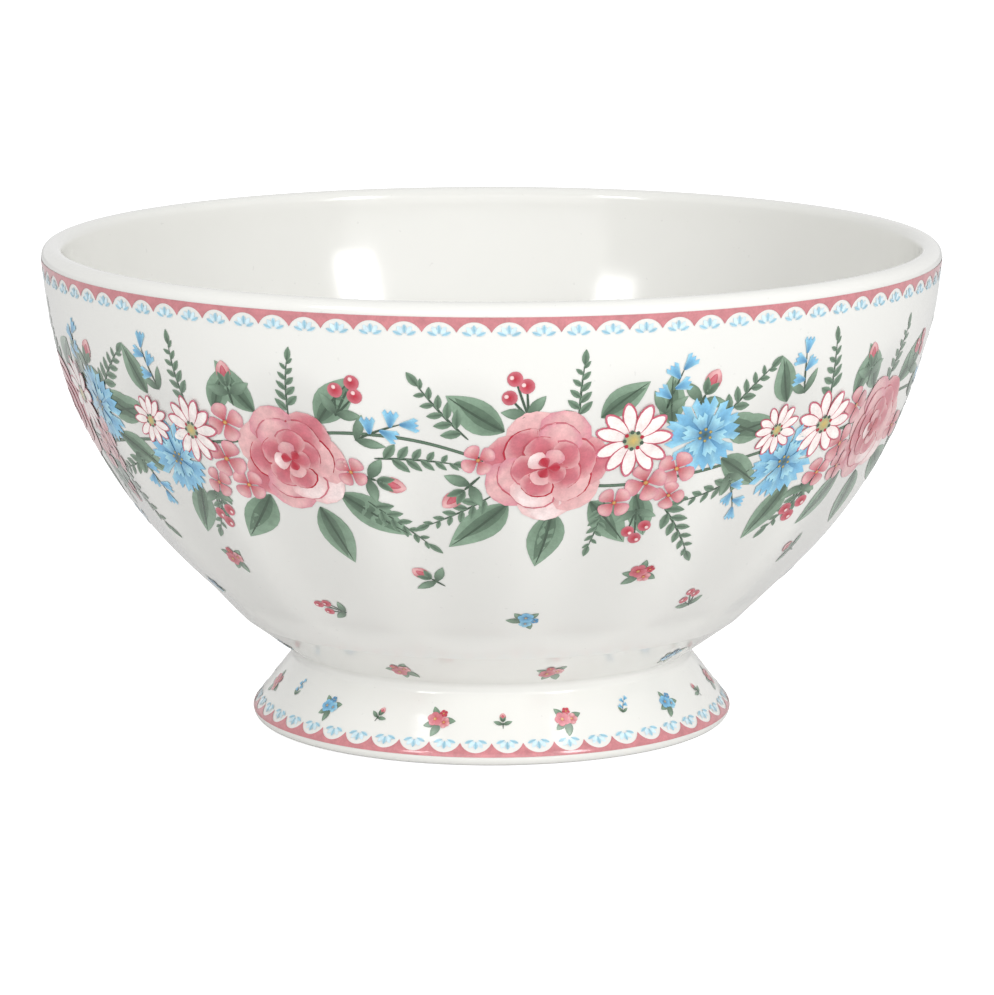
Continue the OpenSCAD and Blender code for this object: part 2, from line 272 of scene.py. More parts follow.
deselect()
bpy.ops.mesh.primitive_plane_add(size=0.001)
body = bpy.context.object
body.name = "porcelain_body"
body.data.name = "porcelain_body"
bpy.ops.object.mode_set(mode="EDIT")
bpy.ops.mesh.select_all(action="SELECT")
bpy.ops.mesh.merge(type="CENTER")
bpy.ops.transform.translate(value=(outline[0][0], 0.0, outline[0][1]))
for here, there in zip(outline, outline[1:]):
    step = (there[0] - here[0], 0.0, there[1] - here[1])
    bpy.ops.mesh.extrude_vertices_move(TRANSFORM_OT_translate={"value": step})
bpy.ops.mesh.select_all(action="SELECT")
bpy.ops.mesh.spin(steps=SPIN_STEPS, angle=2 * math.pi, center=(0, 0, 0), axis=(0, 0, 1))
bpy.ops.mesh.select_all(action="SELECT")
bpy.ops.mesh.remove_doubles(threshold=WELD_GAP)
bpy.ops.mesh.normals_make_consistent(inside=False)
bpy.ops.object.mode_set(mode="OBJECT")

# The white glaze's own colour, with painted shade towards the middle of each panel.
WHITE_GLAZE, PAINTED_SHADE_SHARE, PANEL_DEEP = (0.80, 0.797, 0.764), 0.1, 0.0009
tints = body.data.color_attributes.new("tint", "FLOAT_COLOR", "POINT")
for v in body.data.vertices:
    r, painted_shade = math.hypot(v.co.x, v.co.y), 0.0
    if PANELS_FROM < v.co.z < PANELS_TO and r > outside(v.co.z) - WALL_T / 2:
        drawn = panelled(r, v.co.z, math.atan2(v.co.x, -v.co.y))
        painted_shade = min(1.0, (r - drawn) / PANEL_DEEP)
        v.co.x *= drawn / r
        v.co.y *= drawn / r
    tints.data[v.index].color = (*[c * (1 - PAINTED_SHADE_SHARE * painted_shade) for c in WHITE_GLAZE], 1.0)
print("porcelain body", len(body.data.vertices), "vertices")

# %% [markdown]
# ## Laying a print on the wall
#
# A print like this one comes as a thin transfer that is slid onto the glaze and fired. It is
# modelled flat and then laid on the bowl. A Shrinkwrap modifier could press it on, but would
# stretch it where the wall slants. Here a flat point has a distance to the right, a distance up
# the slope and a height above the glaze. The two slopes, of the wall and of the foot, hold the
# outline's points by distance along them, so a flat shape keeps its true size. A border's unit is
# given one radius for its whole height, so that neighbours meet exactly.

# %% Lay a flat shape
class Slope:
    def __init__(self, points):
        self.points = points
        self.length = [0.0]
        for a, b in zip(points, points[1:]):
            self.length.append(self.length[-1] + math.dist(a, b))

    def distance(self, z):
        for k, (a, b) in enumerate(zip(self.points, self.points[1:])):
            if min(a[1], b[1]) <= z <= max(a[1], b[1]):
                share = (z - a[1]) / (b[1] - a[1] or 1)
                return self.length[k] + share * (self.length[k + 1] - self.length[k])
        return self.length[-1]

    def at(self, s):
        k = min(max(bisect_right(self.length, s) - 1, 0), len(self.points) - 2)
        a, b = self.points[k], self.points[k + 1]
        span = self.length[k + 1] - self.length[k]
        t = (s - self.length[k]) / span
        return (
            a[0] + (b[0] - a[0]) * t,
            a[1] + (b[1] - a[1]) * t,
            (b[1] - a[1]) / span,
            -(b[0] - a[0]) / span,
        )


wall_slope = Slope(wall[len(neck) - 1:])
foot_slope = Slope(bare[-1:] + foot[:1 - len(neck_low)])
LIFT = 0.00005


def lay(slope, turn, base, x, y, height, wrap=None):
    r, z, nr, nz = slope.at(base + y)
    t = turn + x / (wrap or r)
    if slope is wall_slope:
        r = panelled(r, z, t)
    r, z = r + nr * (LIFT + height), z + nz * (LIFT + height)
    return r * math.sin(t), -r * math.cos(t), z


def lay_copy(flat, name, slope, turn, z, angle=0.0, scale=1.0, u=0.0, v=0.0, wrap=None):
    mesh = flat.data.copy()
    mesh.name = name
    obj = bpy.data.objects.new(name, mesh)
    bpy.context.collection.objects.link(obj)
    c, s = math.cos(math.radians(angle)), math.sin(math.radians(angle))
    base = slope.distance(z)
    for vert in mesh.vertices:
        x, y = vert.co.x * scale, vert.co.y * scale
        x, y = u + x * c - y * s, v + x * s + y * c
        vert.co = lay(slope, turn, base, x, y, vert.co.z, wrap)
    return obj


def weld(obj, gap):
    activate(obj)
    bpy.ops.object.mode_set(mode="EDIT")
    bpy.ops.mesh.select_all(action="SELECT")
    bpy.ops.mesh.remove_doubles(threshold=gap)
    bpy.ops.object.mode_set(mode="OBJECT")


def join(objects, name):
    deselect()
    for obj in objects:
        obj.select_set(True)
    bpy.context.view_layer.objects.active = objects[0]
    bpy.ops.object.join()
    joined = bpy.context.object
    joined.name = name
    joined.data.name = name
    return joined


print("slope of the wall", round(wall_slope.length[-1], 4), "foot", round(foot_slope.length[-1], 4))

# %% [markdown]
# ## Flat shapes
#
# The print has soft tones that fade along each petal. Shapes of mesh stay sharp from close by,
# where an image would blur, so every petal, leaf and berry starts as a grid. The grid's rows
# become the length of the petal and its columns the width, and a shape function gives the width
# along the length. Each vertex gets a tint, from the colour of the root to the colour of the tip,
# with another colour at the rim. Shapes that overlap lie on layers a hundredth of a millimetre
# apart. A petal's peak moves its widest place along the length, and its power makes it fuller or
# more pointed.

# %% Flat shapes
def srgb(r, g, b):
    out = []
    for v in (r, g, b):
        v /= 255
        out.append(v / 12.92 if v <= 0.04045 else ((v + 0.055) / 1.055) ** 2.4)
    return out


PALE, ROSE, CRIMSON = srgb(226, 178, 178), srgb(198, 108, 120), srgb(176, 14, 46)
BLUSH, LINE = srgb(243, 224, 222), srgb(205, 120, 140)
SKY, AQUA, DEEP = srgb(122, 186, 221), srgb(166, 217, 231), srgb(62, 122, 168)
SAGE, GREEN, MOSS = srgb(133, 160, 137), srgb(92, 118, 96), srgb(58, 80, 62)
WHITE, OLIVE, GOLD = srgb(246, 243, 238), srgb(112, 112, 66), srgb(206, 176, 96)
MIST, TEAL = srgb(208, 231, 240), srgb(132, 183, 204)
LAYER = 0.00001


def blend(a, b, t):
    return [p + (q - p) * t for p, q in zip(a, b)]


def grid(name, across, rows):
    deselect()
    bpy.ops.mesh.primitive_grid_add(x_subdivisions=across, y_subdivisions=rows, size=1)
    obj = bpy.context.object
    obj.name = name
    return obj


def spread(obj, place, tint, layer):
    tints = obj.data.color_attributes.new("tint", "FLOAT_COLOR", "POINT")
    for k, v in enumerate(obj.data.vertices):
        a, b = v.co.x * 2, v.co.y + 0.5
        x, y = place(a, b)
        v.co = (x, y, layer * LAYER)
        tints.data[k].color = (*tint(a, b), 1.0)
    return obj


TOOTHED_ROOT, TOOTH_DEPTH = 0.16, 0.24
TIP_BY, RIM_TINT = 1.15, 0.7


def petal(length, width, colours, layer, peak=1.5, power=0.7,
          notch=0.0, teeth=0, bend=0.0, across=4, rows=8):
    root, tip, rim = colours

    def place(a, b):
        t = (1 - math.cos(math.pi * b)) / 2
        half = width / 2 * max(0.0, math.sin(math.pi * t**peak)) ** power
        if teeth:
            half = width / 2 * (TOOTHED_ROOT + (1 - TOOTHED_ROOT) * t**0.8)
        y = length * t
        if notch:
            y -= notch * length * (1 - abs(a)) * t**4
        if teeth:
            saw = abs(((a + 1) / 2 * teeth) % 1 - 0.5) * 2
            y -= length * TOOTH_DEPTH * saw * t**3
        return a * half + bend * length * t * t, y

    def tint(a, b):
        t = (1 - math.cos(math.pi * b)) / 2
        return blend(blend(root, tip, min(1, t * TIP_BY)), rim, abs(a) ** 3 * RIM_TINT)

    return spread(grid("petal", across, rows), place, tint, layer)


def disc(radius, inner, outer, layer):
    def place(a, b):
        x, y = a, 2 * b - 1
        big = max(abs(x), abs(y))
        length = math.hypot(x, y) or 1
        return x / length * big * radius, y / length * big * radius

    def tint(a, b):
        return blend(inner, outer, max(abs(a), abs(2 * b - 1)) ** 1.5)

    return spread(grid("disc", 4, 4), place, tint, layer)


def put(obj, x=0.0, y=0.0, turn=0.0):
    obj.matrix_world = Matrix.Translation((x, y, 0)) @ Matrix.Rotation(math.radians(turn), 4, "Z")
    return obj


def motif(name, parts):
    obj = join(parts, name)
    activate(obj)
    bpy.ops.object.transform_apply(location=True, rotation=True, scale=True)
    return obj


def ring(count, make, radius=0.0, start=0.0, wobble=0.0):
    parts = []
    for k in range(count):
        turn = start + 360 / count * k + wobble * math.sin(k * 2.4)
        t = math.radians(turn)
        parts.append(put(make(k), -radius * math.sin(t), radius * math.cos(t), turn))
    return parts


print("flat shape tools ready")

# %% [markdown]
# ## Flowers
#
# The print has its own set of simple garden motifs. The flowers are a camellia built from rings of
# petals with crimson shades between them, a cornflower with toothed florets, a daisy with a pink
# outline and a four-petalled phlox. One drawn outline for each would do from far away, but petals
# that overlap, each on its layer, also look right from close by. Each motif is modelled once,
# flat, at real size, with its root at the middle of the plane.

# %% Flowers
TONES = ((ROSE, PALE, PALE), (CRIMSON, ROSE, PALE), (ROSE, PALE, LINE), (ROSE, BLUSH, PALE))
SHADES = ((CRIMSON, CRIMSON, CRIMSON), (CRIMSON, ROSE, CRIMSON), (CRIMSON, ROSE, ROSE))
CAMELLIA_RINGS = (
    # petals, turn, wobble, length, width, peak, power, first layer, layer step, colours, first one
    (7, 8, 7, 0.0097, 0.0084, 1.75, 0.6, 4, 1, TONES, 0),
    (6, 33, 8, 0.0077, 0.0071, 1.7, 0.6, 11, 0, SHADES, 0),
    (6, 30, 8, 0.0075, 0.0070, 1.7, 0.6, 12, 1, TONES, 1),
    (5, 9, 9, 0.0055, 0.0053, 1.6, 0.62, 18, 0, SHADES, 1),
    (5, 5, 9, 0.0053, 0.0052, 1.6, 0.62, 19, 1, ((CRIMSON, ROSE, PALE),), 0),
    (4, 40, 8, 0.0033, 0.0032, 1.6, 0.65, 25, 1, TONES, 3),
    (3, 15, 0, 0.0019, 0.0018, 1.5, 0.7, 30, 1, ((CRIMSON, CRIMSON, ROSE),), 0),
)


def camellia():
    parts = []
    for count, turn, wobble, length, width, peak, power, layer, step, colours, first in (
        CAMELLIA_RINGS
    ):
        def make(k):
            tints = colours[(k + first) % len(colours)]
            return petal(length, width, tints, layer + k * step, peak, power)

        parts += ring(count, make, start=turn, wobble=wobble)
    return motif("camellia", parts)


def cornflower():
    outer, inner = (DEEP, SKY, AQUA), (DEEP, AQUA, SKY)
    parts = ring(8, lambda k: petal(0.0060, 0.0046, outer, 5 + k, teeth=3, across=6), 0.0006, 4, 6)
    parts += ring(6, lambda k: petal(0.0034, 0.0027, inner, 14 + k, teeth=3, across=6), 0.0005, 20)
    parts.append(disc(0.0010, MOSS, DEEP, 21))
    parts += ring(6, lambda k: disc(0.00028, GOLD, OLIVE, 22), 0.0010)
    return motif("cornflower", parts)


def daisy():
    edged, white = (LINE, LINE, CRIMSON), (BLUSH, WHITE, BLUSH)
    dots = ((MOSS, MOSS), (CRIMSON, CRIMSON))
    parts = ring(11, lambda k: petal(0.0057, 0.0024, edged, 5 + 2 * k, 1.35, 0.55), 0.0006, 0, 3)
    parts += ring(11, lambda k: petal(0.0053, 0.0019, white, 6 + 2 * k, 1.35, 0.55), 0.0006, 0, 3)
    parts.append(disc(0.0015, GOLD, SAGE, 28))
    parts += ring(9, lambda k: disc(0.00032, *dots[k % 2], 29), 0.0014)
    return motif("daisy", parts)


def phlox():
    tints = (CRIMSON, PALE, LINE)
    parts = ring(4, lambda k: petal(0.0034, 0.0034, tints, 8 + k, 1.7, 0.6, notch=0.2), 0.0002, 20)
    parts.append(disc(0.0005, GOLD, CRIMSON, 13))
    return motif("phlox", parts)


print("flowers described, the camellia in", len(CAMELLIA_RINGS), "rings")

# %% [markdown]
# ## Leaves and small motifs
#
# Leaves, leafy sprays, berries, bluebells and buds fill the room between the flowers. Stems and
# veins could be curves with a thickness, but a very narrow petal does the same and takes its tints
# in the same way, so one helper makes them all.

# %% Leaves and small motifs
DARK, FRESH, SOFT = (MOSS, MOSS, MOSS), (MOSS, GREEN, SAGE), (MOSS, SAGE, GREEN)
STEM_W = 0.0004


def stem(length, layer, width=STEM_W, power=0.4, bend=0.0, rows=8):
    return petal(length, width, DARK, layer, 0.7, power, bend=bend, across=2, rows=rows)


def leaf():
    return motif("leaf", [
        petal(0.0112, 0.0056, (GREEN, SAGE, SAGE), 1, 0.85, 0.95, bend=0.08, across=6, rows=12),
        petal(0.0098, 0.0026, (MOSS, GREEN, GREEN), 2, 0.85, 0.9, bend=0.13, across=2, rows=8),
        stem(0.0108, 3, power=0.5, bend=0.08),
    ])


def spray():
    long, bend = 0.0125, 0.1
    parts = [stem(long, 1, bend=bend, rows=12)]
    for k in range(5):
        y, size = 0.0022 + 0.0022 * k, 1 - 0.11 * k
        for side in (-1, 1):
            piece = petal(0.0034 * size, 0.0016 * size, FRESH, 2, 0.9, 0.85, across=2, rows=6)
            parts.append(put(piece, bend * y * y / long, y + 0.0006 * side, -48 * side))
    parts.append(put(petal(0.0030, 0.0014, FRESH, 2, 0.9, 0.85, across=2), 0.0012, 0.0122, -8))
    return motif("spray", parts)


def berries():
    parts = []
    for k, (x, y) in enumerate(((-0.0016, 0.0042), (0.0015, 0.0050), (0.0002, 0.0068))):
        parts.append(put(stem(math.hypot(x, y), 2), turn=-math.degrees(math.atan2(x, y))))
        parts.append(put(disc(0.00125, CRIMSON, ROSE, 4 + k), x, y))
        parts.append(put(disc(0.00035, BLUSH, PALE, 8), x - 0.0004, y + 0.0004))
    for side in (-1, 1):
        parts.append(put(petal(0.0042, 0.0019, SOFT, 3, 0.9, 0.9), 0, 0.0004, -62 * side))
    return motif("berries", parts)


def bluebells():
    long, bend = 0.0085, 0.12
    parts = [stem(long, 2, bend=bend)]
    for k, (y, turn) in enumerate(((0.0030, 62), (0.0048, -58), (0.0066, 50), (0.0082, -30))):
        bell = petal(0.0030, 0.0026, (DEEP, SKY, AQUA), 4 + k, teeth=3, across=6)
        parts.append(put(bell, bend * y * y / long, y, turn))
    for side in (-1, 1):
        parts.append(put(petal(0.0048, 0.0017, SOFT, 3, 0.9, 0.9), 0, 0.0002, -40 * side))
    return motif("bluebells", parts)


def bud():
    parts = [petal(0.0046, 0.0030, (CRIMSON, PALE, ROSE), 5, 1.2, 0.7)]
    parts.append(petal(0.0038, 0.0014, (CRIMSON, ROSE, CRIMSON), 6, 1.2, 0.7))
    for side in (-1, 1):
        parts.append(put(petal(0.0030, 0.0014, FRESH, 7, 0.9, 0.9), turn=-24 * side))
        parts.append(put(petal(0.0046, 0.0020, SOFT, 4, 0.9, 0.9), 0, -0.0012, -70 * side))
    parts.append(put(stem(0.0034, 3, width=0.0005), turn=180))
    return motif("bud", parts)


print("leaves and small motifs described")

# %% [markdown]
# ## Posies and the set of motifs
#
# Two tiny posies, a pink one and a blue one, are for the small print on the lower wall and the
# foot. A shrunken camellia would spend its seven rings of petals on a few millimetres, so a posy
# is only three simple blooms over four leaves. Then all motifs are made and kept by name, ready to
# be copied.

# %% Posies and the set of motifs
MM = 0.001
POSY_LEAVES = (  # x, y, turn, size
    (0.3, -0.6, 150, 1.0), (-0.4, -0.4, 105, 0.85), (0.6, 0.2, -95, 0.9), (-0.2, 0.8, 20, 0.8),
)


def posy(name, root, tip, other):
    parts = []
    for x, y, turn, size in POSY_LEAVES:
        green = petal(0.0040 * size, 0.0021 * size, SOFT, 1, 0.9, 0.85, across=2)
        parts.append(put(green, x * MM, y * MM, turn))
    blooms = (
        (-0.9, 0.5, 0, 1.0, (root, tip, tip)),
        (1.3, -0.4, 30, 0.8, (root, other, tip)),
        (1.1, 1.9, 10, 0.55, (root, root, tip)),
    )
    for x, y, start, size, colours in blooms:
        for k in range(5):
            bloom = petal(0.0019 * size, 0.0018 * size, colours, 4 + k, 1.6, 0.6, across=2, rows=6)
            parts.append(put(bloom, x * MM, y * MM, start + 72 * k))
        parts.append(put(disc(0.0005 * size, GOLD, root, 10), x * MM, y * MM))
    return motif(name, parts)


MAKERS = (camellia, cornflower, daisy, phlox, leaf, spray, berries, bluebells, bud)
MOTIFS = {make.__name__: make() for make in MAKERS}
MOTIFS["rose_posy"] = posy("rose_posy", CRIMSON, ROSE, PALE)
MOTIFS["blue_posy"] = posy("blue_posy", DEEP, SKY, AQUA)
for name, obj in MOTIFS.items():
    print(name, len(obj.data.vertices), "vertices")

# %% [markdown]
# ## Two bunches
#
# The garland is made of two bunches of flowers. Motifs could be scattered at random, but a bunch
# looks natural when its large flowers sit in the middle and its leaves point outwards, so each
# motif's place is listed. Each entry gives a motif, its place in millimetres from the middle of the
# bunch, the turn of its stem and its scale.

# %% Two bunches
BUNCHES = [
    [
        ("spray", -18.5, 4.0, 48, 1.0), ("spray", -1.5, 6.0, 4, 0.85),
        ("spray", 13.5, -8.5, 214, 1.0), ("spray", 22.5, 6.0, -42, 0.95),
        ("spray", -14.0, -6.0, 128, 0.9), ("spray", 4.0, -7.0, 176, 0.8),
        ("leaf", -11.5, -7.5, 142, 1.1), ("leaf", -4.5, -9.0, 178, 1.05),
        ("leaf", 1.5, -7.5, 222, 1.0), ("leaf", -13.0, 5.5, 62, 1.0),
        ("leaf", 2.0, 7.5, -48, 0.85), ("leaf", 23.0, -1.0, 240, 0.95),
        ("leaf", 14.0, 5.5, 10, 0.8), ("leaf", 24.5, 3.0, 285, 0.85),
        ("leaf", 9.0, -6.5, 200, 0.8),
        ("berries", -9.5, 8.0, 22, 1.0), ("berries", 9.5, -9.5, 186, 0.9),
        ("bluebells", 12.5, 7.5, -12, 0.95), ("bluebells", 25.0, -4.0, 205, 0.9),
        ("bud", 19.0, 10.5, -28, 1.0), ("bud", -18.5, -5.0, 138, 1.0),
        ("phlox", 10.5, -4.5, 0, 1.0), ("phlox", 15.4, -2.2, 40, 0.9),
        ("phlox", 5.6, -8.0, 25, 0.85), ("phlox", 14.6, -7.2, 60, 0.75),
        ("phlox", -16.8, 0.5, 15, 0.8),
        ("daisy", 7.6, 3.4, 12, 1.05),
        ("cornflower", 19.5, 3.6, 0, 1.0),
        ("camellia", -6.0, -0.6, 15, 1.05),
    ],
    [
        ("spray", -24.0, -4.0, 118, 0.95), ("spray", -11.0, 6.5, 16, 0.85),
        ("spray", 22.0, 0.5, -88, 1.0), ("spray", 8.5, 6.5, -4, 0.8),
        ("spray", -7.5, -7.0, 158, 0.9), ("spray", 19.0, -7.5, 226, 0.9),
        ("leaf", -24.5, 2.5, 74, 0.95), ("leaf", -13.5, -8.0, 166, 1.0),
        ("leaf", 1.5, -8.0, 148, 1.05), ("leaf", 10.0, -9.5, 196, 1.05),
        ("leaf", 14.5, -6.5, 236, 1.1), ("leaf", 2.5, 7.0, 40, 0.9),
        ("leaf", 13.5, 6.0, -38, 1.0), ("leaf", -5.0, 6.5, -20, 0.8),
        ("leaf", -21.0, 7.5, 30, 0.8),
        ("berries", -10.0, -8.5, 188, 0.95), ("berries", 17.0, 7.5, -30, 1.0),
        ("bluebells", 19.5, 3.5, -62, 1.0), ("bluebells", -17.5, 8.5, 24, 0.9),
        ("bud", 21.5, -3.5, 252, 1.0), ("bud", -1.5, 11.0, 8, 0.95),
        ("phlox", -3.2, 4.8, 0, 0.95), ("phlox", -4.6, -1.8, 40, 1.0),
        ("phlox", -1.8, -6.4, 25, 0.85), ("phlox", -7.8, -6.6, 10, 0.8),
        ("phlox", 17.6, -2.2, 30, 0.8),
        ("daisy", -11.0, 2.6, 12, 0.95), ("daisy", -21.5, 2.8, 30, 0.72),
        ("cornflower", -17.0, -3.4, 20, 1.0),
        ("camellia", 7.6, -0.8, 60, 1.0),
    ],
]
print("motifs in the two bunches", [len(bunch) for bunch in BUNCHES])

# %% [markdown]
# ## Garland
#
# The bunches take turns around the wall, four of each. An Array modifier could copy a bunch around
# the axis, but not bend it to the slope and the panels, so each motif is copied and laid on the
# wall by itself. Motifs of like kinds are joined to one piece.

# %% Garland
REPEATS, GARLAND_Z, GARLAND_TURN = 8, 0.0552, math.radians(12)
KINDS = {
    "garland_camellias": ("camellia", "bud"),
    "garland_cornflowers": ("cornflower", "bluebells"),
    "garland_daisies": ("daisy",),
    "garland_phlox": ("phlox", "berries"),
    "garland_leaves": ("leaf", "spray"),
}
laid = {name: [] for name in KINDS}
for k in range(REPEATS):
    turn = GARLAND_TURN + 2 * math.pi / REPEATS * k
    for kind, u, v, angle, scale in BUNCHES[k % 2]:
        piece = next(name for name, kinds in KINDS.items() if kind in kinds)
        laid[piece].append(lay_copy(
            MOTIFS[kind], kind, wall_slope, turn, GARLAND_Z, angle, scale, u * MM, v * MM))
garland = {name: join(objects, name) for name, objects in laid.items()}
print("garland pieces", {name: len(obj.data.vertices) for name, obj in garland.items()})

# %% [markdown]
# ## Vine
#
# A thin vine waves along behind the flowers and ties the bunches together. It could be a curve,
# but a ribbon of faces lies as flat on the glaze as the rest of the print. A grid, two faces wide,
# is laid around the wall along two sine waves, and its ends are welded.

# %% Vine
VINE_W, VINE_STEPS, WAVE, RIPPLE = 0.00056, 640, 0.0042, 0.0012
vine = grid("garland_vine", 2, VINE_STEPS)
vine_base = wall_slope.distance(GARLAND_Z)
vine_tints = vine.data.color_attributes.new("tint", "FLOAT_COLOR", "POINT")
for k, vert in enumerate(vine.data.vertices):
    a, turn = vert.co.x * 2, (vert.co.y + 0.5) * 2 * math.pi
    wave = WAVE * math.sin(REPEATS / 2 * turn) + RIPPLE * math.sin(REPEATS * turn)
    vert.co = lay(wall_slope, -turn, vine_base, 0, wave + a * VINE_W / 2, 0)
    vine_tints.data[k].color = (*blend(GREEN, MOSS, abs(a)), 1.0)
weld(vine, WELD_GAP / 10)
garland["garland_vine"] = vine
print("vine", len(vine.data.vertices), "vertices")

# %% [markdown]
# ## Sprigs
#
# Small sprigs are strewn over the lower wall in staggered rows, with a last row on the narrow band
# above the neck. The foot carries a ring of sprigs, where small and larger ones alternate. Random
# places could leave gaps and collisions, so the rows are even, and a sine leans each sprig its own
# way.

# %% Sprigs
WALL_ROWS = (
    # height, count, turn of the first, scale, motifs that take turns
    (0.0345, 10, 24, 0.8, ("rose_posy", "bud", "rose_posy", "bluebells")),
    (0.0265, 10, 6, 0.7, ("blue_posy", "berries")),
    (0.0148, 9, 15, 0.75, ("rose_posy", "blue_posy")),
)
FOOT_SPRIGS, FOOT_SPRIG_Z, FOOT_SPRIG_TURN = 22, 0.0066, 0.05
FOOT_MOTIFS = (("bud", 0.36), ("rose_posy", 0.68), ("bluebells", 0.3), ("blue_posy", 0.62))

sprigs = []
for z, count, start, scale, kinds in WALL_ROWS:
    for k in range(count):
        turn = math.radians(start + 360 / count * k + 3 * math.sin(5 * k))
        tilt = 70 * math.sin(1.7 * k + z * 900)
        flat = MOTIFS[kinds[k % len(kinds)]]
        sprigs.append(lay_copy(flat, "sprig", wall_slope, turn, z, tilt, scale))
wall_sprigs = join(sprigs, "wall_sprigs")
sprigs = []
for k in range(FOOT_SPRIGS):
    turn = 2 * math.pi / FOOT_SPRIGS * k + FOOT_SPRIG_TURN
    kind, scale = FOOT_MOTIFS[k % len(FOOT_MOTIFS)]
    tilt = 25 * math.sin(2.1 * k)
    sprigs.append(lay_copy(MOTIFS[kind], "sprig", foot_slope, turn, FOOT_SPRIG_Z, tilt, scale))
foot_sprigs = join(sprigs, "foot_sprigs")
print("sprigs", len(wall_sprigs.data.vertices), len(foot_sprigs.data.vertices))

# %% [markdown]
# ## Scalloped borders
#
# A rose band with a scalloped edge runs under the rim and above the foot's edge. One long ribbon
# could be given a wavy edge, but a single flat scallop is easier to get right. It is copied around
# the rim and, turned over, around the foot. The unit's top edge is straight and its lower edge
# follows an arc between two cusps. The units are welded to one ring. A fan of two pale and three
# deeper blue drops stands in each scallop.

# %% Borders
RIM_COUNT, RIM_BAND_W, RIM_SCALLOP_H = 88, 0.00075, 0.00165
FOOT_COUNT, FOOT_BAND_Z, FOOT_BAND_W, FOOT_SCALLOP_H = 48, 0.0016, 0.00068, 0.00178
RIM_BAND_TOP = rim_point[1] - 0.0002
DROP_L, DROP_W, FAN_R, FAN_LOW = 0.00125, 0.00055, 0.0004, 0.00065
FAN_DROPS = (
    # turn, length share, width share, colour, layer
    (-36, 1.2, 1.4, MIST, 3), (36, 1.2, 1.4, MIST, 3),
    (-68, 1.25, 1.15, TEAL, 4), (68, 1.25, 1.15, TEAL, 4), (0, 1.15, 1.5, TEAL, 5),
)


def scallop(name, pitch, band, height):
    obj = grid(name, 14, 7)
    half = pitch / 2
    radius = (half * half + height * height) / (2 * height)
    for vert in obj.data.vertices:
        a, b = vert.co.x * 2, vert.co.y + 0.5
        low = -band - height + math.sqrt(radius**2 - (a * half) ** 2) - (radius - height)
        vert.co = (a * half, low * (1 - b), 2 * LAYER)
    return obj


def fan(name):
    parts = []
    for turn, long, wide, colour, layer in FAN_DROPS:
        tints = (colour, colour, MIST)
        drop = petal(DROP_L * long, DROP_W * wide, tints, layer, 1.15, 0.8, across=2, rows=6)
        t = math.radians(turn)
        parts.append(put(drop, -FAN_R * math.sin(t), FAN_R * math.cos(t) - FAN_LOW, turn))
    return motif(name, parts)


rim_step, foot_step = 2 * math.pi / RIM_COUNT, 2 * math.pi / FOOT_COUNT
rim_unit = scallop("rim_unit", rim_step * RIM_R, RIM_BAND_W, RIM_SCALLOP_H)
foot_unit = scallop("foot_unit", foot_step * FOOT_R, FOOT_BAND_W, FOOT_SCALLOP_H)
fan_unit = fan("fan_unit")
rim_cusp, foot_cusp = RIM_BAND_TOP - RIM_BAND_W - RIM_SCALLOP_H, FOOT_BAND_W + FOOT_SCALLOP_H
bands = {"rim_border": [], "foot_border": [], "rim_drops": [], "foot_drops": []}
for k in range(RIM_COUNT):
    turn = rim_step * (k + 0.5)
    bands["rim_border"].append(
        lay_copy(rim_unit, "unit", wall_slope, turn, RIM_BAND_TOP, wrap=RIM_R))
    bands["rim_drops"].append(lay_copy(fan_unit, "unit", wall_slope, turn, rim_cusp))
for k in range(FOOT_COUNT):
    turn = foot_step * (k + 0.5)
    bands["foot_border"].append(
        lay_copy(foot_unit, "unit", foot_slope, turn, FOOT_BAND_Z, 180, wrap=FOOT_R))
    bands["foot_drops"].append(
        lay_copy(fan_unit, "unit", foot_slope, turn, FOOT_BAND_Z, 180, v=foot_cusp))
borders = {name: join(objects, name) for name, objects in bands.items()}
for name in ("rim_border", "foot_border"):
    weld(borders[name], WELD_GAP)
for obj in list(MOTIFS.values()) + [rim_unit, foot_unit, fan_unit]:
    bpy.data.objects.remove(obj, do_unlink=True)
print("borders", {name: len(obj.data.vertices) for name, obj in borders.items()})

# %% [markdown]
# ## Node helpers
#
# No fired surface is quite even: its tone and its gloss drift, and it ripples a little. An image
# could hold that, but noise on the piece's own coordinates needs no image and has no seam. The
# helpers make a node and link it in one line, to keep the recipes short.

# %% Node helpers
def group_of(name, inputs, outputs):
    group = bpy.data.node_groups.new(name, "ShaderNodeTree")
    for label, kind in inputs:
        group.interface.new_socket(label, in_out="INPUT", socket_type=kind)
    for label, kind in outputs:
        group.interface.new_socket(label, in_out="OUTPUT", socket_type=kind)
    return group, group.nodes.new("NodeGroupInput"), group.nodes.new("NodeGroupOutput")


def noise(group, coords, scale, detail=3.0):
    node = group.nodes.new("ShaderNodeTexNoise")
    node.inputs["Scale"].default_value = scale
    node.inputs["Detail"].default_value = detail
    group.links.new(coords.outputs["Object"], node.inputs["Vector"])
    return node.outputs["Fac"]


def remap(group, value, to_low, to_high, low=0.3, high=0.7):
    node = group.nodes.new("ShaderNodeMapRange")
    numbers = {"From Min": low, "From Max": high, "To Min": to_low, "To Max": to_high}
    for key, number in numbers.items():
        node.inputs[key].default_value = number
    group.links.new(value, node.inputs["Value"])
    return node.outputs["Result"]


def scaled(group, colour, factor):
    node = group.nodes.new("ShaderNodeVectorMath")
    node.operation = "SCALE"
    group.links.new(colour, node.inputs[0])
    group.links.new(factor, node.inputs["Scale"])
    return node.outputs["Vector"]


def times(group, a, b):
    node = group.nodes.new("ShaderNodeMath")
    node.operation = "MULTIPLY"
    group.links.new(a, node.inputs[0])
    group.links.new(b, node.inputs[1])
    return node.outputs["Value"]


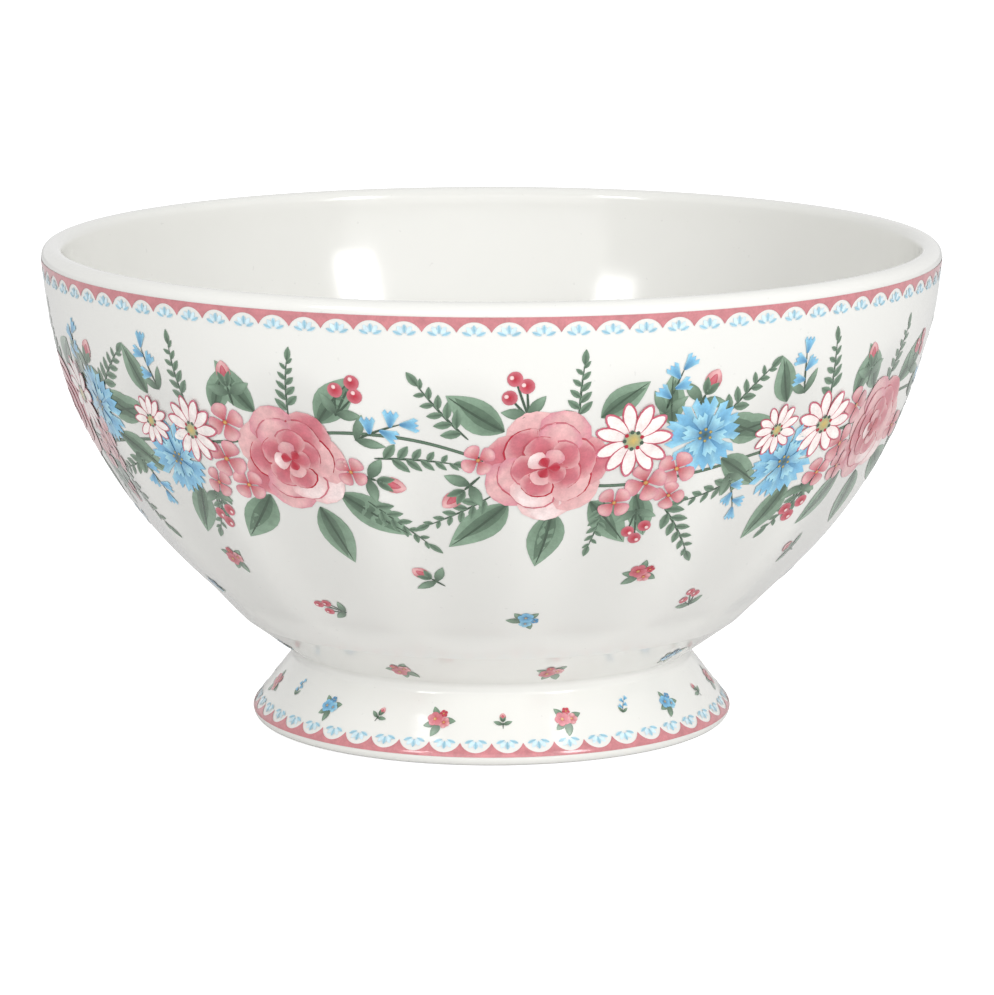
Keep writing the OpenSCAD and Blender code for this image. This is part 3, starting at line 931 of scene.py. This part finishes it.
COLOUR, NUMBER = "NodeSocketColor", "NodeSocketFloat"
TAKES = [("Color", COLOUR)]
GIVES = [("Color", COLOUR), ("Roughness", NUMBER), ("Height", NUMBER)]
print("node helpers ready")

# %% [markdown]
# ## Glaze and enamel groups
#
# Nearly everything on the bowl is fired glaze. One node group gives it a faint drift of tone, rare
# tiny specks, a slightly uneven gloss and a soft ripple of the surface. The enamels and the print
# use a second group that lets the colour pool and thin as a printed enamel does. The nodes could
# be repeated in every material, but a group is built once and changed in one place.

# %% Glaze and enamel groups
glaze, g_in, g_out = group_of("fired_glaze", TAKES, GIVES)
g_at = glaze.nodes.new("ShaderNodeTexCoord")
drift = remap(glaze, noise(glaze, g_at, scale=28), 0.975, 1.0)
specks = remap(glaze, noise(glaze, g_at, scale=1300, detail=0.0), 1.0, 0.93, low=0.84, high=0.87)
glaze_colour = scaled(glaze, g_in.outputs["Color"], times(glaze, drift, specks))
glaze_gloss = remap(glaze, noise(glaze, g_at, scale=90), 0.12, 0.18)
glaze.links.new(glaze_colour, g_out.inputs["Color"])
glaze.links.new(glaze_gloss, g_out.inputs["Roughness"])
glaze.links.new(noise(glaze, g_at, scale=160, detail=2.0), g_out.inputs["Height"])

enamel, e_in, e_out = group_of("pooled_enamel", TAKES, GIVES)
e_at = enamel.nodes.new("ShaderNodeTexCoord")
pool = remap(enamel, noise(enamel, e_at, scale=700), 0.88, 1.1)
grain = remap(enamel, noise(enamel, e_at, scale=3200, detail=1.0), 0.95, 1.05)
enamel_colour = scaled(enamel, e_in.outputs["Color"], times(enamel, pool, grain))
enamel_gloss = remap(enamel, noise(enamel, e_at, scale=300), 0.08, 0.16)
enamel.links.new(enamel_colour, e_out.inputs["Color"])
enamel.links.new(enamel_gloss, e_out.inputs["Roughness"])
enamel.links.new(noise(enamel, e_at, scale=500, detail=2.0), e_out.inputs["Height"])
print("groups", glaze.name, enamel.name)

# %% [markdown]
# ## Materials
#
# Glaze and enamel are glossy and get a thin clear coat. A material for each colour of the print
# would be easy, but couldn't fade along a petal, so the glaze and the print read their colours
# from the vertices' tints. The ring that the bowl stands on is bare clay, so it has no coat and no
# gloss. Its faces are chosen by their place.

# %% Materials
IOR, COAT_ROUGHNESS, RELIEF = 1.5, 0.1, 0.001


def fired(name, group, colour, bump=0.02, coat=0.4, roughness=None):
    material = bpy.data.materials.new(name)
    material.use_nodes = True
    tree = material.node_tree
    shader = tree.nodes["Principled BSDF"]
    shader.inputs["IOR"].default_value = IOR
    shader.inputs["Coat Weight"].default_value = coat
    shader.inputs["Coat Roughness"].default_value = COAT_ROUGHNESS
    node = tree.nodes.new("ShaderNodeGroup")
    node.node_tree = group
    if isinstance(colour, str):
        attribute = tree.nodes.new("ShaderNodeAttribute")
        attribute.attribute_name = colour
        tree.links.new(attribute.outputs["Color"], node.inputs["Color"])
    else:
        node.inputs["Color"].default_value = (*colour, 1.0)
    relief = tree.nodes.new("ShaderNodeBump")
    relief.inputs["Strength"].default_value = bump
    relief.inputs["Distance"].default_value = RELIEF
    tree.links.new(node.outputs["Color"], shader.inputs["Base Color"])
    if roughness is None:
        tree.links.new(node.outputs["Roughness"], shader.inputs["Roughness"])
    else:
        shader.inputs["Roughness"].default_value = roughness
    tree.links.new(node.outputs["Height"], relief.inputs["Height"])
    tree.links.new(relief.outputs["Normal"], shader.inputs["Normal"])
    return material


# The glaze's tint holds painted shade in the panel hollows.
white = fired("white_glaze", glaze, "tint")
rose = fired("rose_enamel", enamel, srgb(198, 126, 131))
printed = fired("printed_enamel", enamel, "tint")
biscuit = fired("bare_biscuit", enamel, srgb(226, 218, 203), bump=0.35, coat=0.0, roughness=0.8)

body.data.materials.append(white)
body.data.materials.append(biscuit)
for face in body.data.polygons:
    r = math.hypot(face.center.x, face.center.y)
    if face.center.z < HOLLOW_BEVEL and BARE_IN - HOLLOW_BEVEL < r < foot_c[0]:
        face.material_index = 1
print("materials", [m.name for m in (white, rose, printed, biscuit)])

# %% [markdown]
# ## Finish and names of the pieces
#
# Every piece rides on the one body of the bowl. Cup, foot, slip and glazes could stay apart, but
# after firing nobody can tell them apart, so the porcelain body stands for all of them. A piece
# that stands for a plain solid hides it, and each is given one of the materials made above.

# %% Assign the pieces
def finish_piece(obj, material, slot):
    if material is not None:
        obj.data.materials.clear()
        obj.data.materials.append(material)
    activate(obj)
    bpy.ops.object.shade_smooth()
    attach(obj, "root")


finish_piece(body, None, "white_glaze")
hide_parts("cup", "foot_ring", "luting_slip", "inner_glaze", "outer_glaze", "base_glaze")
for name, node, material, slot in (
    ("rim_border", "rim_band", rose, "rose_enamel"),
    ("foot_border", "foot_band", rose, "rose_enamel"),
    ("rim_drops", "rim_fans", printed, "sky_enamel"),
    ("foot_drops", "foot_fans", printed, "sky_enamel"),
):
    finish_piece(borders[name], material, slot)
    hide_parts(node)
for name, obj in garland.items():
    finish_piece(obj, printed, "sky_enamel" if "cornflower" in name else "rose_enamel")
finish_piece(wall_sprigs, printed, "rose_enamel")
finish_piece(foot_sprigs, printed, "rose_enamel")
print("pieces", [obj.name for obj in (body, *borders.values(), *garland.values())])

# %% [markdown]
# ## Studio floor
#
# The bowl stands on a white floor in a white room. More lamps would make them white, but wash out
# the bowl too. So the floor and the room look whiter to the camera than they light the bowl, and
# the floor still shows the bowl's shadow.

# %% Floor
FLOOR_SIZE, FLOOR_GAP, PAPER, PAPER_SEEN = 12, 0.00005, 0.87, 0.7

deselect()
bpy.ops.mesh.primitive_plane_add(size=FLOOR_SIZE, location=(0, 0, -FLOOR_GAP))
ground = bpy.context.object
ground.name = "studio_floor"
paper = bpy.data.materials.new("studio_paper")
paper.use_nodes = True
paper_shader = paper.node_tree.nodes["Principled BSDF"]
paper_shader.inputs["Base Color"].default_value = (PAPER, PAPER, PAPER, 1.0)
paper_shader.inputs["Roughness"].default_value = 0.9
paper_shader.inputs["Specular IOR Level"].default_value = 0.0
paper_shader.inputs["Emission Color"].default_value = (1.0, 1.0, 1.0, 1.0)


def seen_strength(tree, unseen, mirrored, seen, socket):
    path = tree.nodes.new("ShaderNodeLightPath")
    either = tree.nodes.new("ShaderNodeMath")
    either.operation = "MAXIMUM"
    tree.links.new(path.outputs["Is Glossy Ray"], either.inputs[0])
    tree.links.new(path.outputs["Is Transmission Ray"], either.inputs[1])
    level = tree.nodes.new("ShaderNodeMapRange")
    level.inputs["To Min"].default_value = unseen
    level.inputs["To Max"].default_value = mirrored
    tree.links.new(either.outputs["Value"], level.inputs["Value"])
    choice = tree.nodes.new("ShaderNodeMix")
    tree.links.new(path.outputs["Is Camera Ray"], choice.inputs["Factor"])
    tree.links.new(level.outputs["Result"], choice.inputs["A"])
    choice.inputs["B"].default_value = seen
    tree.links.new(choice.outputs["Result"], socket)


seen_strength(paper.node_tree, 0.0, 0.0, PAPER_SEEN, paper_shader.inputs["Emission Strength"])
ground.data.materials.append(paper)
print("floor", FLOOR_SIZE, "m wide")

# %% [markdown]
# ## Lamps and room
#
# Glaze mirrors its lamps, so their shape matters as much as their power. Point lamps would leave
# small hard sparkles. Two softboxes to the left and the right of the camera give the two soft
# windows that shine on the inside. A large, weak light behind the camera stands for the bright
# wall of a studio and keeps the lower wall from going grey.

# %% Lamps and room
AIM, ROOM_LIGHT, ROOM_MIRRORED, ROOM_SEEN = (0, 0, 0.045), 0.65, 0.85, 1.0
SOFTBOXES = (
    # name, place, width, height, watts
    ("window_right", (0.77, -0.87, 0.61), 0.26, 0.56, 5.0),
    ("window_left", (-0.73, -0.90, 0.70), 0.25, 0.44, 2.8),
    ("front_wall", (0.15, -1.9, 0.50), 3.0, 1.1, 11.5),
)


def softbox(name, place, width, height, power):
    deselect()
    bpy.ops.object.light_add(type="AREA", location=place)
    light = bpy.context.object
    light.name = name
    light.data.shape = "RECTANGLE"
    light.data.size, light.data.size_y = width, height
    light.data.energy = power
    light.rotation_euler = (Vector(AIM) - Vector(place)).to_track_quat("-Z", "Y").to_euler()


for box in SOFTBOXES:
    softbox(*box)

world = bpy.context.scene.world or bpy.data.worlds.new("studio")
bpy.context.scene.world = world
world.use_nodes = True
background = world.node_tree.nodes["Background"]
background.inputs["Color"].default_value = (1.0, 1.0, 1.0, 1.0)
seen_strength(world.node_tree, ROOM_LIGHT, ROOM_MIRRORED, ROOM_SEEN, background.inputs["Strength"])
bpy.context.scene.view_settings.view_transform = "Standard"
